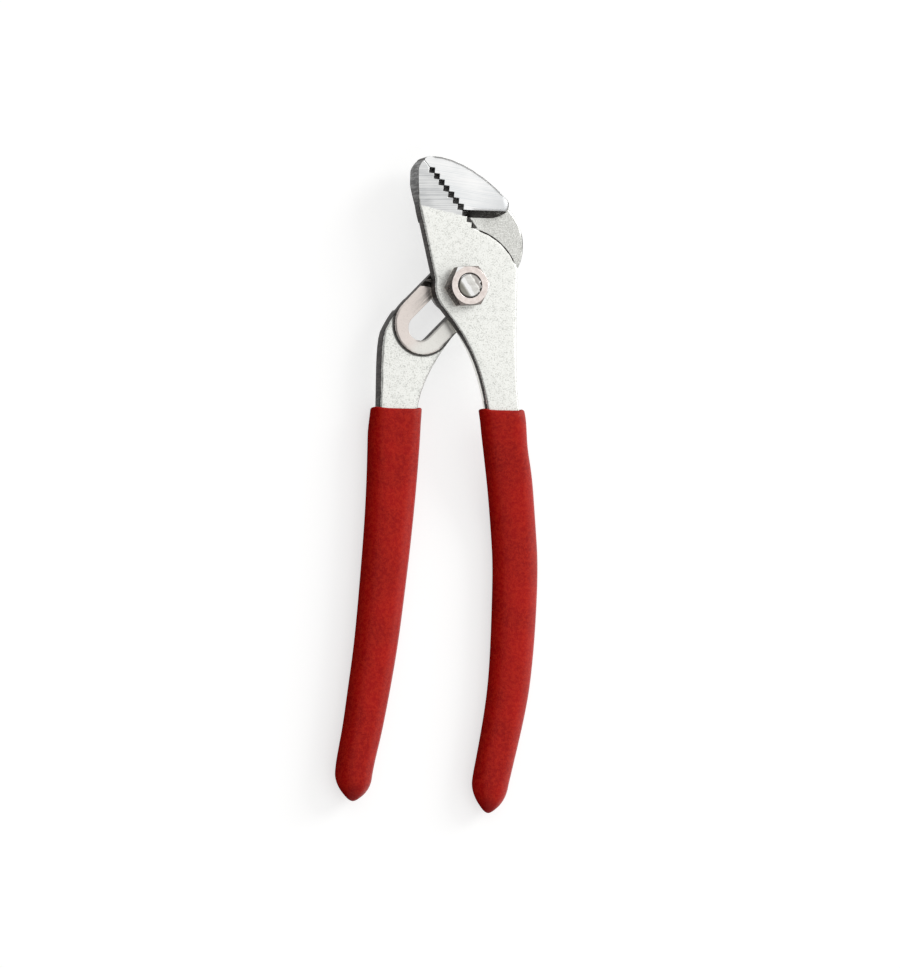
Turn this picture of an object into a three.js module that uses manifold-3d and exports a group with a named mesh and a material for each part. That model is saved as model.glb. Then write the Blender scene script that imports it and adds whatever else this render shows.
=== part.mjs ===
// Water pump pliers of the 125 mm class, with a tongue and groove joint.
//
// Two forged levers cross at a bolt. The back lever carries a slot at 45 degrees, in a raised
// boss with seven curved grooves. The front lever lies on it, turns about the bolt and has one
// curved tongue that sits in a groove. Moving the bolt along the slot shifts the tongue to
// another groove and opens the jaws further. Both handles are dipped in soft red plastic.
//
// Millimetres and degrees. Z runs along the bolt towards the nut, Y towards the jaws. The
// origin is the middle of the bolt head's flat end, on the surface that the tool lies on.

import * as THREE from 'three';
import { mergeVertices } from 'three/addons/utils/BufferGeometryUtils.js';
import Module from 'manifold-3d';

const wasm = await Module();
wasm.setup();

// Bolt and nut
const HEAD_DIAMETER = 8.4;
const HEAD_HEIGHT = 2.9;
const HEAD_CHAMFER = 0.4;
const SHANK_DIAMETER = 4.6;
const THREAD_DIAMETER = 4.3;
const BOLT_END_RISE = 0.35;
const BOLT_END_DOME = 0.55;
const NUT_ACROSS_FLATS = 7.3;
const NUT_HEIGHT = 3.0;
const NUT_FACE_DIAMETER = 7.2;
const NUT_CHAMFER_ANGLE = 35;
const NUT_BORE_CHAMFER = 0.36;
const NUT_TURN_ANGLE = 184;

// Levers, through their thickness
const BACK_PLATE = 2.8;
const FRONT_PLATE = 3.0;
const BACK_HANDLE_THICKNESS = 3.8;
const JAW_BACK_DEPTH = 2.5;
const EDGE_ROUND = 0.45;

// Slot, grooves and tongue
const SLOT_ANGLE = 45;
const SLOT_TRAVEL = 11.1;
const GROOVES = 7;
const GROOVE_RADIUS = 8.6;
const GROOVE_HALF_ANGLE = 52;
const TONGUE_HALF_ANGLE = 15;
const TONGUE_WIDTH = 0.85;
const TONGUE_HEIGHT = 0.7;
const BOSS_SIDE_WALL = 3.3;
const BOSS_END_WALL = 2.4;

// Front lever outline
const HUB_RADIUS = 5.9;
const HUB_FROM_ANGLE = 168;
const HUB_TO_ANGLE = 222;
const HUB_PULL_LENGTH = 10;
const ARC_RADIUS = 11.4;
const ARC_LOW_ANGLE = 19;
const FRONT_INNER_PULL = [3.7, -17.5];
const FRONT_OUTER_PULL = [10.7, -8];
const FRONT_NOSE = [-7.75, 24.35];
const FRONT_JAW_SIDE = [
  [-9.0, 23.1], [-9.17, 22.2], [-9.35, 18.8], [-9.1, 16.2], [-9.0, 14.6], [-8.3, 12.2],
];

// Back lever outline
const JAW_CROWN = [-6.7, 24.8];
const JAW_HEEL = [8.7, 16.9];
const JAW_BACK_PULLS = [[5.2, 20.6], [-1.0, 24.9]];
const JAW_NOSE_SIDE = [[-7.35, 24.75], [-7.8, 24.3]];
const NECK_BULGE = [13.0, 9.2];
const NECK_LOW_PULLS = [[12.2, 4.1], [13.2, 6.2]];
const NECK_HIGH_PULLS = [[12.8, 12.4], [11.1, 14.7]];
const NECK_STRAIGHT_LENGTH = 9.4;
const NECK_HIDDEN_LENGTH = 8;
const JAW_HEEL_SIDE = [[9.1, 13.7], [9.05, 16.2], [8.95, 16.6]];
const INNER_FLARE_LENGTH = 4.4;
const OUTER_FLARE_LENGTH = 1.5;
const BACK_INNER_PULL = [-2.9, -11.5];
const BACK_OUTER_PULL = [-12.8, -4.7];
const BACK_SHOULDER_LEFT = [-14.6, -8.4];
const BACK_SIDE_PULL = [-15.6, -11.4];
const PLATE_EASE_LENGTH = 6.5;

// Teeth along the bite line, from the nose to the heel
const BITE_START = [-6.96, 22.63];
const BITE_ANGLE = -51.1;
const TEETH = 10;
const TOOTH_PITCH = 1.48;
const TOOTH_DEPTH = 0.74;
const BITE_GAP_NOSE = 0.1;
const BITE_GAP_HEEL = 0.36;
const BITE_SPARE = 1.2;

// Jaw shoulders and ground faces
const BACK_SHOULDER_Y = 13.55;
const BACK_DRAFT_ANGLE = 20;
const FRONT_SHOULDER_Y = 15.5;
const FRONT_DRAFT_ANGLE = 62;
const SHOULDER_CORNER = 2.6;
const GRIND_FROM_Y = 14.3;
const GRIND_TAPER_ANGLE = 2.4;

// Handles: middle line from the joint to the tip of the grip, then steel widths along it
const FRONT_LINE = [[6.6, -18], [13.1, -43], [14.5, -70.5], [6.1, -99.6]];
const BACK_LINE = [[-11.65, -18], [-12.35, -45], [-16.1, -72], [-21.3, -97.6]];
const FRONT_STEEL_WIDTH = 6.5;
const BACK_STEEL_WIDTH = 7.75;
const STEEL_END_WIDTH = 4.7;
const FRONT_SWELL = 0.2;
const BACK_SWELL = -0.4;
const CRANK_LENGTH = 27;
const STEEL_STOP_LENGTH = 3.6;

// Grips
const GRIP_WALL = 0.95;
const GRIP_TIP_LENGTH = 7.5;
const TIP_BLUNTNESS = 2.2;
const TIP_END_SHARE = 0.994;
const FRONT_RIM_Y = -23.15;
const BACK_RIM_Y = -22.95;
const RIM_ROUND = 0.5;
const RIM_LEVEL_LENGTH = 14;
const GRIP_SQUARENESS = 3.0;
const STEEL_SQUARENESS = 5.5;

// Clearances
const RUNNING = 0.1;
const LAP_GAP = 0.1;
const SEAT_GAP = 0.1;
const GRIP_CLEARANCE = 0.3;
const STUB_OVERLAP = 1.6;

// Fineness of the facets
const CURVE_STEPS = 8;
const ROUND_STEPS = 2;
const LATHE_SIDES = 48;
const SECTION_SIDES = 28;
const STEEL_STATIONS = 15;
const GRIP_STATIONS = 22;
const TIP_STATIONS = 7;
const DOME_STEPS = 4;

// Levels along the bolt, worked out from the bolt head upwards
const BOSS_BACK_Z = HEAD_HEIGHT + SEAT_GAP;
const MATE_Z = BOSS_BACK_Z + BACK_PLATE;
const FRONT_BACK_Z = MATE_Z + LAP_GAP;
const FRONT_FACE_Z = FRONT_BACK_Z + FRONT_PLATE;
const JAW_BACK_Z = MATE_Z - JAW_BACK_DEPTH;
const NUT_BASE_Z = FRONT_FACE_Z + SEAT_GAP;
const NUT_TOP_Z = NUT_BASE_Z + NUT_HEIGHT;
const GRIP_COVER = GRIP_WALL + GRIP_CLEARANCE;
const BACK_HANDLE_MID_Z = BACK_HANDLE_THICKNESS / 2 + GRIP_COVER;
const FRONT_HANDLE_MID_Z = FRONT_PLATE / 2 + GRIP_COVER;
const FRONT_PLATE_MID_Z = FRONT_BACK_Z + FRONT_PLATE / 2;
const BACK_HANDLE_FACE_Z = BACK_HANDLE_MID_Z + BACK_HANDLE_THICKNESS / 2;
const BACK_HANDLE_BACK_Z = BACK_HANDLE_MID_Z - BACK_HANDLE_THICKNESS / 2;

// Sizes that follow from the fits
const SLOT_HALF = SHANK_DIAMETER / 2 + RUNNING;
const BAND_HALF = SLOT_HALF + BOSS_SIDE_WALL;
const BOSS_END = SLOT_TRAVEL + SLOT_HALF + BOSS_END_WALL - BAND_HALF;
const GROOVE_PITCH = SLOT_TRAVEL / (GROOVES - 1);
const GROOVE_WIDTH = TONGUE_WIDTH + 2 * RUNNING;
const GROOVE_DEPTH = TONGUE_HEIGHT + RUNNING - LAP_GAP;
const BITE_LENGTH = TEETH * TOOTH_PITCH;
const BEYOND = 40;

const radians = THREE.MathUtils.degToRad;

// Points, either in X and Y, along and across the slot, or along and across the bite line
const slotPoint = (along, across) => turned([0, 0], SLOT_ANGLE, along, across);
const bitePoint = (along, across) => turned(BITE_START, BITE_ANGLE, along, across);

function turned(origin, angle, along, across) {
  const c = Math.cos(radians(angle));
  const s = Math.sin(radians(angle));
  return [origin[0] + along * c - across * s, origin[1] + along * s + across * c];
}

function onCircle(radius, angle) {
  return [radius * Math.cos(radians(angle)), radius * Math.sin(radians(angle))];
}

// Solids: a closed mesh with shared corners, ready to be joined or cut
function solid(geometry) {
  const bare = geometry.clone();
  bare.deleteAttribute('normal');
  bare.deleteAttribute('uv');
  const merged = mergeVertices(bare, 1e-5);
  return new wasm.Manifold(new wasm.Mesh({
    numProp: 3,
    vertProperties: new Float32Array(merged.attributes.position.array),
    triVerts: new Uint32Array(merged.index.array),
  }));
}

function join(first, ...others) {
  return others.reduce((whole, piece) => whole.add(piece), first);
}

function cut(first, ...tools) {
  return tools.reduce((whole, tool) => whole.subtract(tool), first);
}

function meshOf(name, body, material) {
  const { vertProperties, triVerts } = body.getMesh();
  const geometry = new THREE.BufferGeometry();
  geometry.setAttribute('position', new THREE.BufferAttribute(vertProperties, 3));
  geometry.setIndex(new THREE.BufferAttribute(triVerts, 1));
  geometry.computeVertexNormals();
  const mesh = new THREE.Mesh(geometry, material);
  mesh.name = name;
  return mesh;
}

// A flat outline raised from one level to another, its edges rounded as a forging's are
function raised(shape, low, high, round = 0) {
  const geometry = new THREE.ExtrudeGeometry(shape, {
    depth: high - low - 2 * round,
    curveSegments: CURVE_STEPS,
    bevelEnabled: round > 0,
    bevelThickness: round,
    bevelSize: round,
    bevelOffset: -round,
    bevelSegments: ROUND_STEPS,
  });
  geometry.translate(0, 0, low + round);
  return solid(geometry);
}

function polygon(points) {
  return new THREE.Shape(points.map(([x, y]) => new THREE.Vector2(x, y)));
}

// A wedge across the whole width, drawn in Y and Z
function wedge(points) {
  const geometry = new THREE.ExtrudeGeometry(polygon(points), { depth: 2 * BEYOND, bevelEnabled: false });
  geometry.translate(0, 0, -BEYOND);
  geometry.rotateX(Math.PI / 2);
  geometry.rotateZ(Math.PI / 2);
  return solid(geometry);
}

function stadium(halfWidth, from, to) {
  const shape = new THREE.Shape();
  shape.moveTo(...slotPoint(from, -halfWidth));
  shape.lineTo(...slotPoint(to, -halfWidth));
  shape.absarc(...slotPoint(to, 0), halfWidth, radians(SLOT_ANGLE - 90), radians(SLOT_ANGLE + 90), false);
  shape.lineTo(...slotPoint(from, halfWidth));
  shape.absarc(...slotPoint(from, 0), halfWidth, radians(SLOT_ANGLE + 90), radians(SLOT_ANGLE + 270), false);
  return shape;
}

// A curved bar about a bolt position, on the jaw side of it
function arcBar(centre, radius, width, halfAngle) {
  const from = radians(SLOT_ANGLE - halfAngle);
  const to = radians(SLOT_ANGLE + halfAngle);
  const shape = new THREE.Shape();
  shape.absarc(...centre, radius + width / 2, from, to, false);
  shape.absarc(...centre, radius - width / 2, to, from, true);
  shape.closePath();
  return shape;
}

// Teeth: what is cut from a jaw beyond its tooth flanks, through the whole thickness
function biteCutter(side) {
  const tipLine = (along) => {
    const share = THREE.MathUtils.clamp(along / BITE_LENGTH, 0, 1);
    return side > 0 ? 0 : THREE.MathUtils.lerp(BITE_GAP_NOSE, BITE_GAP_HEEL, share);
  };
  const points = [bitePoint(-BEYOND, tipLine(0))];
  for (let tooth = 0; tooth < TEETH; tooth += 1) {
    const tip = tooth * TOOTH_PITCH;
    const root = tip + TOOTH_PITCH / 2;
    points.push(bitePoint(tip, tipLine(tip)));
    points.push(bitePoint(root, tipLine(root) - side * TOOTH_DEPTH));
  }
  points.push(bitePoint(BITE_LENGTH, tipLine(BITE_LENGTH)));
  points.push(bitePoint(BITE_LENGTH, side * BEYOND));
  points.push(bitePoint(-BEYOND, side * BEYOND));
  const ordered = side > 0 ? points : points.reverse();
  return raised(polygon(ordered), -BEYOND, BEYOND);
}

// The drafted wall at the foot of a jaw, where its full thickness drops to half
function shoulderCut(footY, fromZ, toZ, draft) {
  const lean = Math.tan(radians(draft)) * Math.abs(toZ - fromZ);
  return wedge([
    [footY, fromZ],
    [footY + lean, toZ],
    [-BEYOND, toZ],
    [-BEYOND, fromZ],
  ]);
}

// Both flat sides of the jaws are ground, a little thinner towards the nose
function grindCuts() {
  const fall = Math.tan(radians(GRIND_TAPER_ANGLE)) * BEYOND;
  const endY = GRIND_FROM_Y + BEYOND;
  const ground = (fromZ, endZ, outside) => wedge([
    [GRIND_FROM_Y, fromZ],
    [endY, endZ],
    [endY, outside],
    [GRIND_FROM_Y, outside],
  ]);
  return [
    ground(FRONT_FACE_Z, FRONT_FACE_Z - fall, BEYOND),
    ground(JAW_BACK_Z, JAW_BACK_Z + fall, -BEYOND),
  ];
}

// Handles
function handle(line, topWidth, swell, rimY, thickness, midZ) {
  const curve = new THREE.CubicBezierCurve(...line.map(([x, y]) => new THREE.Vector2(x, y)));
  const length = curve.getLength();
  const width = (t) => THREE.MathUtils.lerp(topWidth, STEEL_END_WIDTH, t) + swell * 4 * t * (1 - t);
  const stationAt = (y) => {
    let low = 0;
    let high = 1;
    while (high - low > 1e-9) {
      const middle = (low + high) / 2;
      if (curve.getPoint(middle).y > y) low = middle;
      else high = middle;
    }
    return low;
  };
  const rim = stationAt(rimY);
  return { curve, length, width, rim, rimY, thickness, midZ, stationAt };
}

const crankedZ = (t) => {
  const share = THREE.MathUtils.smoothstep((t - frontHandle.rim) * frontHandle.length, 0, CRANK_LENGTH);
  return THREE.MathUtils.lerp(FRONT_PLATE_MID_Z, FRONT_HANDLE_MID_Z, share);
};
const frontHandle = handle(FRONT_LINE, FRONT_STEEL_WIDTH, FRONT_SWELL, FRONT_RIM_Y, FRONT_PLATE, crankedZ);
const backHandle = handle(
  BACK_LINE, BACK_STEEL_WIDTH, BACK_SWELL, BACK_RIM_Y, BACK_HANDLE_THICKNESS, () => BACK_HANDLE_MID_Z,
);

// Across a handle: level at the rim, as the dip leaves it, then square to the middle line
function acrossAt(hand, t) {
  const along = hand.curve.getTangent(t);
  const share = THREE.MathUtils.smoothstep((t - hand.rim) * hand.length, 0, RIM_LEVEL_LENGTH);
  return new THREE.Vector2(1, 0).lerp(new THREE.Vector2(-along.y, along.x), share).normalize();
}

// One closed ring of a handle's section, a rounded rectangle about the middle line
function section(hand, t, halfWidth, halfThickness, squareness) {
  const middle = hand.curve.getPoint(t);
  const across = acrossAt(hand, t);
  const ring = [];
  for (let side = 0; side < SECTION_SIDES; side += 1) {
    const angle = (side / SECTION_SIDES) * 2 * Math.PI;
    const power = (value) => Math.sign(value) * Math.abs(value) ** (2 / squareness);
    const flat = middle.clone().addScaledVector(across, halfWidth * power(Math.cos(angle)));
    ring.push(new THREE.Vector3(flat.x, flat.y, hand.midZ(t) + halfThickness * power(Math.sin(angle))));
  }
  return ring;
}

// A skin through rings of equal count, closed by a fan at each end
function loft(rings) {
  const count = rings[0].length;
  const corners = rings.flat();
  const triangles = [];
  for (let ring = 0; ring < rings.length - 1; ring += 1) {
    for (let side = 0; side < count; side += 1) {
      const a = ring * count + side;
      const b = ring * count + ((side + 1) % count);
      triangles.push(a, b, b + count, a, b + count, a + count);
    }
  }
  const centre = (ring) => ring.reduce((sum, p) => sum.add(p), new THREE.Vector3()).divideScalar(count);
  const first = corners.push(centre(rings[0])) - 1;
  const last = corners.push(centre(rings[rings.length - 1])) - 1;
  const lastRing = (rings.length - 1) * count;
  for (let side = 0; side < count; side += 1) {
    const next = (side + 1) % count;
    triangles.push(first, next, side, last, lastRing + side, lastRing + next);
  }
  const geometry = new THREE.BufferGeometry().setFromPoints(corners);
  geometry.setIndex(triangles);
  return solid(geometry);
}

// The steel inside a grip, or the room for it when grown by a clearance
function steelLoft(hand, fromT, toT, grow) {
  const rings = [];
  for (let station = 0; station <= STEEL_STATIONS; station += 1) {
    const t = THREE.MathUtils.lerp(fromT, toT, station / STEEL_STATIONS);
    rings.push(section(hand, t, hand.width(t) / 2 + grow, hand.thickness / 2 + grow, STEEL_SQUARENESS));
  }
  return loft(rings);
}

function handleSteel(hand) {
  return steelLoft(hand, hand.stationAt(hand.rimY + STUB_OVERLAP), 1 - STEEL_STOP_LENGTH / hand.length, 0);
}

// A dipped grip: a thick skin that ends in a blunt tip
function grip(hand) {
  const tipFrom = 1 - GRIP_TIP_LENGTH / hand.length;
  const rings = [];
  const ringAt = (t, share, inset) => {
    const halfWidth = (hand.width(t) / 2 + GRIP_COVER) * share - inset;
    const halfThickness = (hand.thickness / 2 + GRIP_COVER) * share - inset;
    rings.push(section(hand, t, halfWidth, halfThickness, GRIP_SQUARENESS));
  };
  ringAt(hand.rim, 1, RIM_ROUND / 2);
  ringAt(hand.rim + RIM_ROUND / 2 / hand.length, 1, RIM_ROUND / 8);
  for (let station = 0; station <= GRIP_STATIONS; station += 1) {
    ringAt(THREE.MathUtils.lerp(hand.rim + RIM_ROUND / hand.length, tipFrom, station / GRIP_STATIONS), 1, 0);
  }
  for (let station = 1; station <= TIP_STATIONS; station += 1) {
    const share = TIP_END_SHARE * Math.sin((station / TIP_STATIONS) * (Math.PI / 2));
    ringAt(THREE.MathUtils.lerp(tipFrom, 1, share), Math.sqrt(1 - share ** TIP_BLUNTNESS), 0);
  }
  const room = steelLoft(
    hand,
    hand.rim - GRIP_COVER / hand.length,
    1 - (STEEL_STOP_LENGTH - GRIP_CLEARANCE) / hand.length,
    GRIP_CLEARANCE,
  );
  return cut(loft(rings), room);
}

// The end of a flat plate, just inside its grip: its two corners, and points further up its edges
function stub(hand) {
  const t = hand.stationAt(hand.rimY - STUB_OVERLAP);
  const middle = hand.curve.getPoint(t);
  const along = hand.curve.getTangent(t);
  const across = acrossAt(hand, t).multiplyScalar(hand.width(t) / 2);
  const edge = (side) => (up) => [
    middle.x + side * across.x - along.x * up,
    middle.y + side * across.y - along.y * up,
  ];
  return { left: edge(-1), right: edge(1) };
}

// Each pair is the point a curve is pulled towards and the point it ends at
function bends(shape, pairs) {
  for (let pair = 0; pair < pairs.length; pair += 2) {
    shape.quadraticCurveTo(...pairs[pair], ...pairs[pair + 1]);
  }
}

// Front lever
function frontOutline() {
  const end = stub(frontHandle);
  const shape = new THREE.Shape();
  const heel = bitePoint(BITE_LENGTH, 0);
  const heelAngle = THREE.MathUtils.radToDeg(Math.atan2(heel[1], heel[0]));
  const hubPull = turned(onCircle(HUB_RADIUS, HUB_TO_ANGLE), HUB_TO_ANGLE + 90, HUB_PULL_LENGTH, 0);
  shape.moveTo(...end.right(0));
  const arcLow = onCircle(ARC_RADIUS, ARC_LOW_ANGLE);
  shape.bezierCurveTo(...end.right(PLATE_EASE_LENGTH), ...FRONT_OUTER_PULL, ...arcLow);
  shape.absarc(0, 0, ARC_RADIUS, radians(ARC_LOW_ANGLE), radians(heelAngle), false);
  shape.lineTo(...bitePoint(BITE_LENGTH, BITE_SPARE));
  frontJawEdge(shape);
  shape.lineTo(...onCircle(HUB_RADIUS, HUB_FROM_ANGLE));
  shape.absarc(0, 0, HUB_RADIUS, radians(HUB_FROM_ANGLE), radians(HUB_TO_ANGLE), false);
  shape.bezierCurveTo(...hubPull, ...FRONT_INNER_PULL, ...end.left(0));
  return shape;
}

// The jaw's edge from beyond the bite line, round the nose and down its outer side to the neck
function frontJawEdge(shape) {
  shape.lineTo(...bitePoint(-BITE_SPARE, BITE_SPARE));
  shape.lineTo(...FRONT_NOSE);
  bends(shape, FRONT_JAW_SIDE);
}

function frontJawOutline() {
  const shape = new THREE.Shape();
  shape.moveTo(...FRONT_JAW_SIDE[FRONT_JAW_SIDE.length - 1]);
  shape.lineTo(...bitePoint(BITE_LENGTH - TOOTH_PITCH, BITE_SPARE));
  frontJawEdge(shape);
  return shape;
}

function frontLever() {
  const plate = raised(frontOutline(), FRONT_BACK_Z, FRONT_FACE_Z, EDGE_ROUND);
  const jaw = raised(frontJawOutline(), JAW_BACK_Z, FRONT_FACE_Z, EDGE_ROUND);
  const jawShouldered = cut(jaw, shoulderCut(FRONT_SHOULDER_Y, FRONT_BACK_Z, JAW_BACK_Z, FRONT_DRAFT_ANGLE));
  const tongue = raised(
    arcBar([0, 0], GROOVE_RADIUS, TONGUE_WIDTH, TONGUE_HALF_ANGLE),
    FRONT_BACK_Z - TONGUE_HEIGHT,
    FRONT_BACK_Z + FRONT_PLATE / 2,
  );
  const hole = new THREE.Shape();
  hole.absarc(0, 0, SLOT_HALF, 0, 2 * Math.PI, false);
  const blank = join(plate, jawShouldered, tongue, handleSteel(frontHandle));
  return cut(blank, raised(hole, -BEYOND, BEYOND), biteCutter(1), ...grindCuts());
}

// Back lever
function backOutline() {
  const shape = new THREE.Shape();
  const bossEnd = slotPoint(-BOSS_END, 0);
  shape.moveTo(...slotPoint(-BOSS_END, -BAND_HALF));
  shape.lineTo(...slotPoint(NECK_STRAIGHT_LENGTH, -BAND_HALF));
  shape.bezierCurveTo(...NECK_LOW_PULLS.flat(), ...NECK_BULGE);
  shape.bezierCurveTo(...NECK_HIGH_PULLS.flat(), ...JAW_HEEL);
  backJawEdge(shape);
  shape.lineTo(...bitePoint(BITE_LENGTH, -BITE_SPARE));
  shape.lineTo(...slotPoint(NECK_HIDDEN_LENGTH, BAND_HALF));
  shape.lineTo(...slotPoint(-BOSS_END, BAND_HALF));
  shape.absarc(...bossEnd, BAND_HALF, radians(SLOT_ANGLE + 90), radians(SLOT_ANGLE + 270), false);
  return shape;
}

// The jaw's back from its heel over the crown to the nose, ending beyond the bite line
function backJawEdge(shape) {
  shape.bezierCurveTo(...JAW_BACK_PULLS.flat(), ...JAW_CROWN);
  bends(shape, JAW_NOSE_SIDE);
  shape.lineTo(...bitePoint(-BITE_SPARE, -BITE_SPARE));
}

function backJawOutline() {
  const shape = new THREE.Shape();
  shape.moveTo(...bitePoint(BITE_LENGTH - TOOTH_PITCH, -BITE_SPARE));
  shape.lineTo(JAW_HEEL[0] - SHOULDER_CORNER, BACK_SHOULDER_Y);
  bends(shape, [...JAW_HEEL_SIDE, JAW_HEEL]);
  backJawEdge(shape);
  return shape;
}

function backHandleOutline() {
  const end = stub(backHandle);
  const shape = new THREE.Shape();
  const inner = slotPoint(-BOSS_END + INNER_FLARE_LENGTH, -BAND_HALF);
  const outer = slotPoint(-BOSS_END + OUTER_FLARE_LENGTH, BAND_HALF);
  shape.moveTo(...end.right(0));
  shape.bezierCurveTo(...end.right(PLATE_EASE_LENGTH), ...BACK_INNER_PULL, ...inner);
  shape.lineTo(...outer);
  bends(shape, [BACK_OUTER_PULL, BACK_SHOULDER_LEFT]);
  shape.bezierCurveTo(...BACK_SIDE_PULL, ...end.left(PLATE_EASE_LENGTH), ...end.left(0));
  return shape;
}

function backLever() {
  const band = raised(backOutline(), BOSS_BACK_Z, MATE_Z, EDGE_ROUND);
  const jaw = raised(backJawOutline(), JAW_BACK_Z, FRONT_FACE_Z, EDGE_ROUND);
  const jawShouldered = cut(jaw, shoulderCut(BACK_SHOULDER_Y, MATE_Z, FRONT_FACE_Z, BACK_DRAFT_ANGLE));
  const handlePlate = raised(backHandleOutline(), BACK_HANDLE_BACK_Z, BACK_HANDLE_FACE_Z, EDGE_ROUND);
  const headRoom = raised(stadium(BAND_HALF, -BOSS_END, BEYOND), -BEYOND, BOSS_BACK_Z);
  const slot = raised(stadium(SLOT_HALF, -SLOT_TRAVEL, 0), -BEYOND, BEYOND);
  const grooves = [];
  for (let step = 0; step < GROOVES; step += 1) {
    const centre = slotPoint(-step * GROOVE_PITCH, 0);
    const bar = arcBar(centre, GROOVE_RADIUS, GROOVE_WIDTH, GROOVE_HALF_ANGLE);
    grooves.push(raised(bar, MATE_Z - GROOVE_DEPTH, MATE_Z + LAP_GAP));
  }
  const blank = join(band, jawShouldered, cut(handlePlate, headRoom), handleSteel(backHandle));
  return cut(blank, slot, ...grooves, biteCutter(-1), ...grindCuts());
}

// Bolt and nut
function turnedPart(profile) {
  const points = profile.map(([radius, height]) => new THREE.Vector2(radius, height));
  const geometry = new THREE.LatheGeometry(points, LATHE_SIDES);
  geometry.rotateX(Math.PI / 2);
  return solid(geometry);
}

function pivotBolt() {
  const head = HEAD_DIAMETER / 2;
  const shank = SHANK_DIAMETER / 2;
  const thread = THREAD_DIAMETER / 2;
  const top = NUT_TOP_Z + BOLT_END_RISE;
  const profile = [
    [0, 0],
    [head - HEAD_CHAMFER, 0],
    [head, HEAD_CHAMFER],
    [head, HEAD_HEIGHT],
    [shank, HEAD_HEIGHT],
    [shank, FRONT_FACE_Z],
    [thread, FRONT_FACE_Z],
  ];
  for (let step = 0; step < DOME_STEPS; step += 1) {
    const angle = (step / DOME_STEPS) * (Math.PI / 2);
    profile.push([thread * Math.cos(angle), top - BOLT_END_DOME * (1 - Math.sin(angle))]);
  }
  profile.push([0, top]);
  return turnedPart(profile);
}

// A six-sided block, turned down at its corners and at both ends of its hole
function pivotNut() {
  const flats = NUT_ACROSS_FLATS / 2;
  const face = NUT_FACE_DIAMETER / 2;
  const corner = flats / Math.cos(Math.PI / 6);
  const bore = THREAD_DIAMETER / 2 + RUNNING;
  const slope = Math.tan(radians(NUT_CHAMFER_ANGLE));
  const corners = [0, 1, 2, 3, 4, 5].map((step) => onCircle(corner, NUT_TURN_ANGLE + step * 60));
  const prism = raised(polygon(corners), NUT_BASE_Z, NUT_TOP_Z);
  const turning = turnedPart([
    [bore, NUT_BASE_Z + NUT_BORE_CHAMFER],
    [bore + NUT_BORE_CHAMFER, NUT_BASE_Z],
    [flats, NUT_BASE_Z],
    [corner, NUT_BASE_Z + (corner - flats) * slope],
    [corner, NUT_TOP_Z - (corner - face) * slope],
    [face, NUT_TOP_Z],
    [bore + NUT_BORE_CHAMFER, NUT_TOP_Z],
    [bore, NUT_TOP_Z - NUT_BORE_CHAMFER],
    [bore, NUT_BASE_Z + NUT_BORE_CHAMFER],
  ]);
  return prism.intersect(turning);
}

// Finishes, each as a colour, a roughness and how far it is metal
function finish(color, roughness, metalness) {
  return new THREE.MeshStandardMaterial({ color, roughness, metalness });
}

const forgedSteel = () => finish(0xd3d4d0, 0.38, 1);
const plated = () => finish(0xd9cfca, 0.28, 1);
const dippedPlastic = () => finish(0xb32225, 0.6, 0);

// The assembly
const pliers = new THREE.Group();

const backAssembly = new THREE.Group();
backAssembly.add(meshOf('back_lever', backLever(), forgedSteel()));
backAssembly.add(meshOf('back_grip', grip(backHandle), dippedPlastic()));

const pivot = new THREE.Group();
pivot.add(meshOf('pivot_bolt', pivotBolt(), plated()));
pivot.add(meshOf('pivot_nut', pivotNut(), plated()));

const frontAssembly = new THREE.Group();
frontAssembly.add(meshOf('front_lever', frontLever(), forgedSteel()));
frontAssembly.add(meshOf('front_grip', grip(frontHandle), dippedPlastic()));

pliers.add(backAssembly, pivot, frontAssembly);

export default pliers;
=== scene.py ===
# %% [markdown]
# # Water pump pliers, dressed for a photograph
# The solids of the tool come in as a fixed frame: two forged levers, a bolt, a nut and two dipped
# grips. This lesson gives each of them its finish, and rebuilds the pieces whose small forms matter
# up close. Everything is in metres, with Z along the bolt and Y towards the jaws.

import math

import bpy
from mathutils import Matrix, Vector


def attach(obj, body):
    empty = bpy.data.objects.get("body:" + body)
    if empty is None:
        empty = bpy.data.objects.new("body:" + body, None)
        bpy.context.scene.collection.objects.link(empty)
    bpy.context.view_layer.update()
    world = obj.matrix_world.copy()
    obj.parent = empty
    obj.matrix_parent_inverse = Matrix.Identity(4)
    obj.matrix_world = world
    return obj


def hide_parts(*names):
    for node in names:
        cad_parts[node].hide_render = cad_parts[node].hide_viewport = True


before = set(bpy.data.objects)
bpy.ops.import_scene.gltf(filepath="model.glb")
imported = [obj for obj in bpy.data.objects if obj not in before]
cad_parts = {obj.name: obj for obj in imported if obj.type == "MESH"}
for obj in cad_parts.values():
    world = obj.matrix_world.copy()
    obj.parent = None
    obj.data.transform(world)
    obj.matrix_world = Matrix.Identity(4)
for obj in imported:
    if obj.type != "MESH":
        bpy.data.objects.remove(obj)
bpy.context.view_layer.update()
MM = 0.001
print("solids:", sorted(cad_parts))

# %% [markdown]
# ## The camera
# The photograph looks down on the tool from above and a little from the left, from far away, so
# lines that are parallel stay parallel. A very long lens does the same. The three axes of the camera
# are worked out from the direction in which the side walls of the levers show.

# %% Camera
PIVOT = Vector((0, 0, 5.8)) * MM
TOWARDS_CAMERA = Vector((-0.326, -0.066, 0.943)).normalized()
PICTURE_RIGHT = Vector((0.945, 0.0, 0.326))
PICTURE_UP = TOWARDS_CAMERA.cross(PICTURE_RIGHT).normalized()
PICTURE_RIGHT = PICTURE_UP.cross(TOWARDS_CAMERA)
PICTURE_HEIGHT = 184.3 * MM
LENS = 300.0
SENSOR = 36.0
AIM_LEFT, AIM_BELOW = 1.79, 37.3

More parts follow.
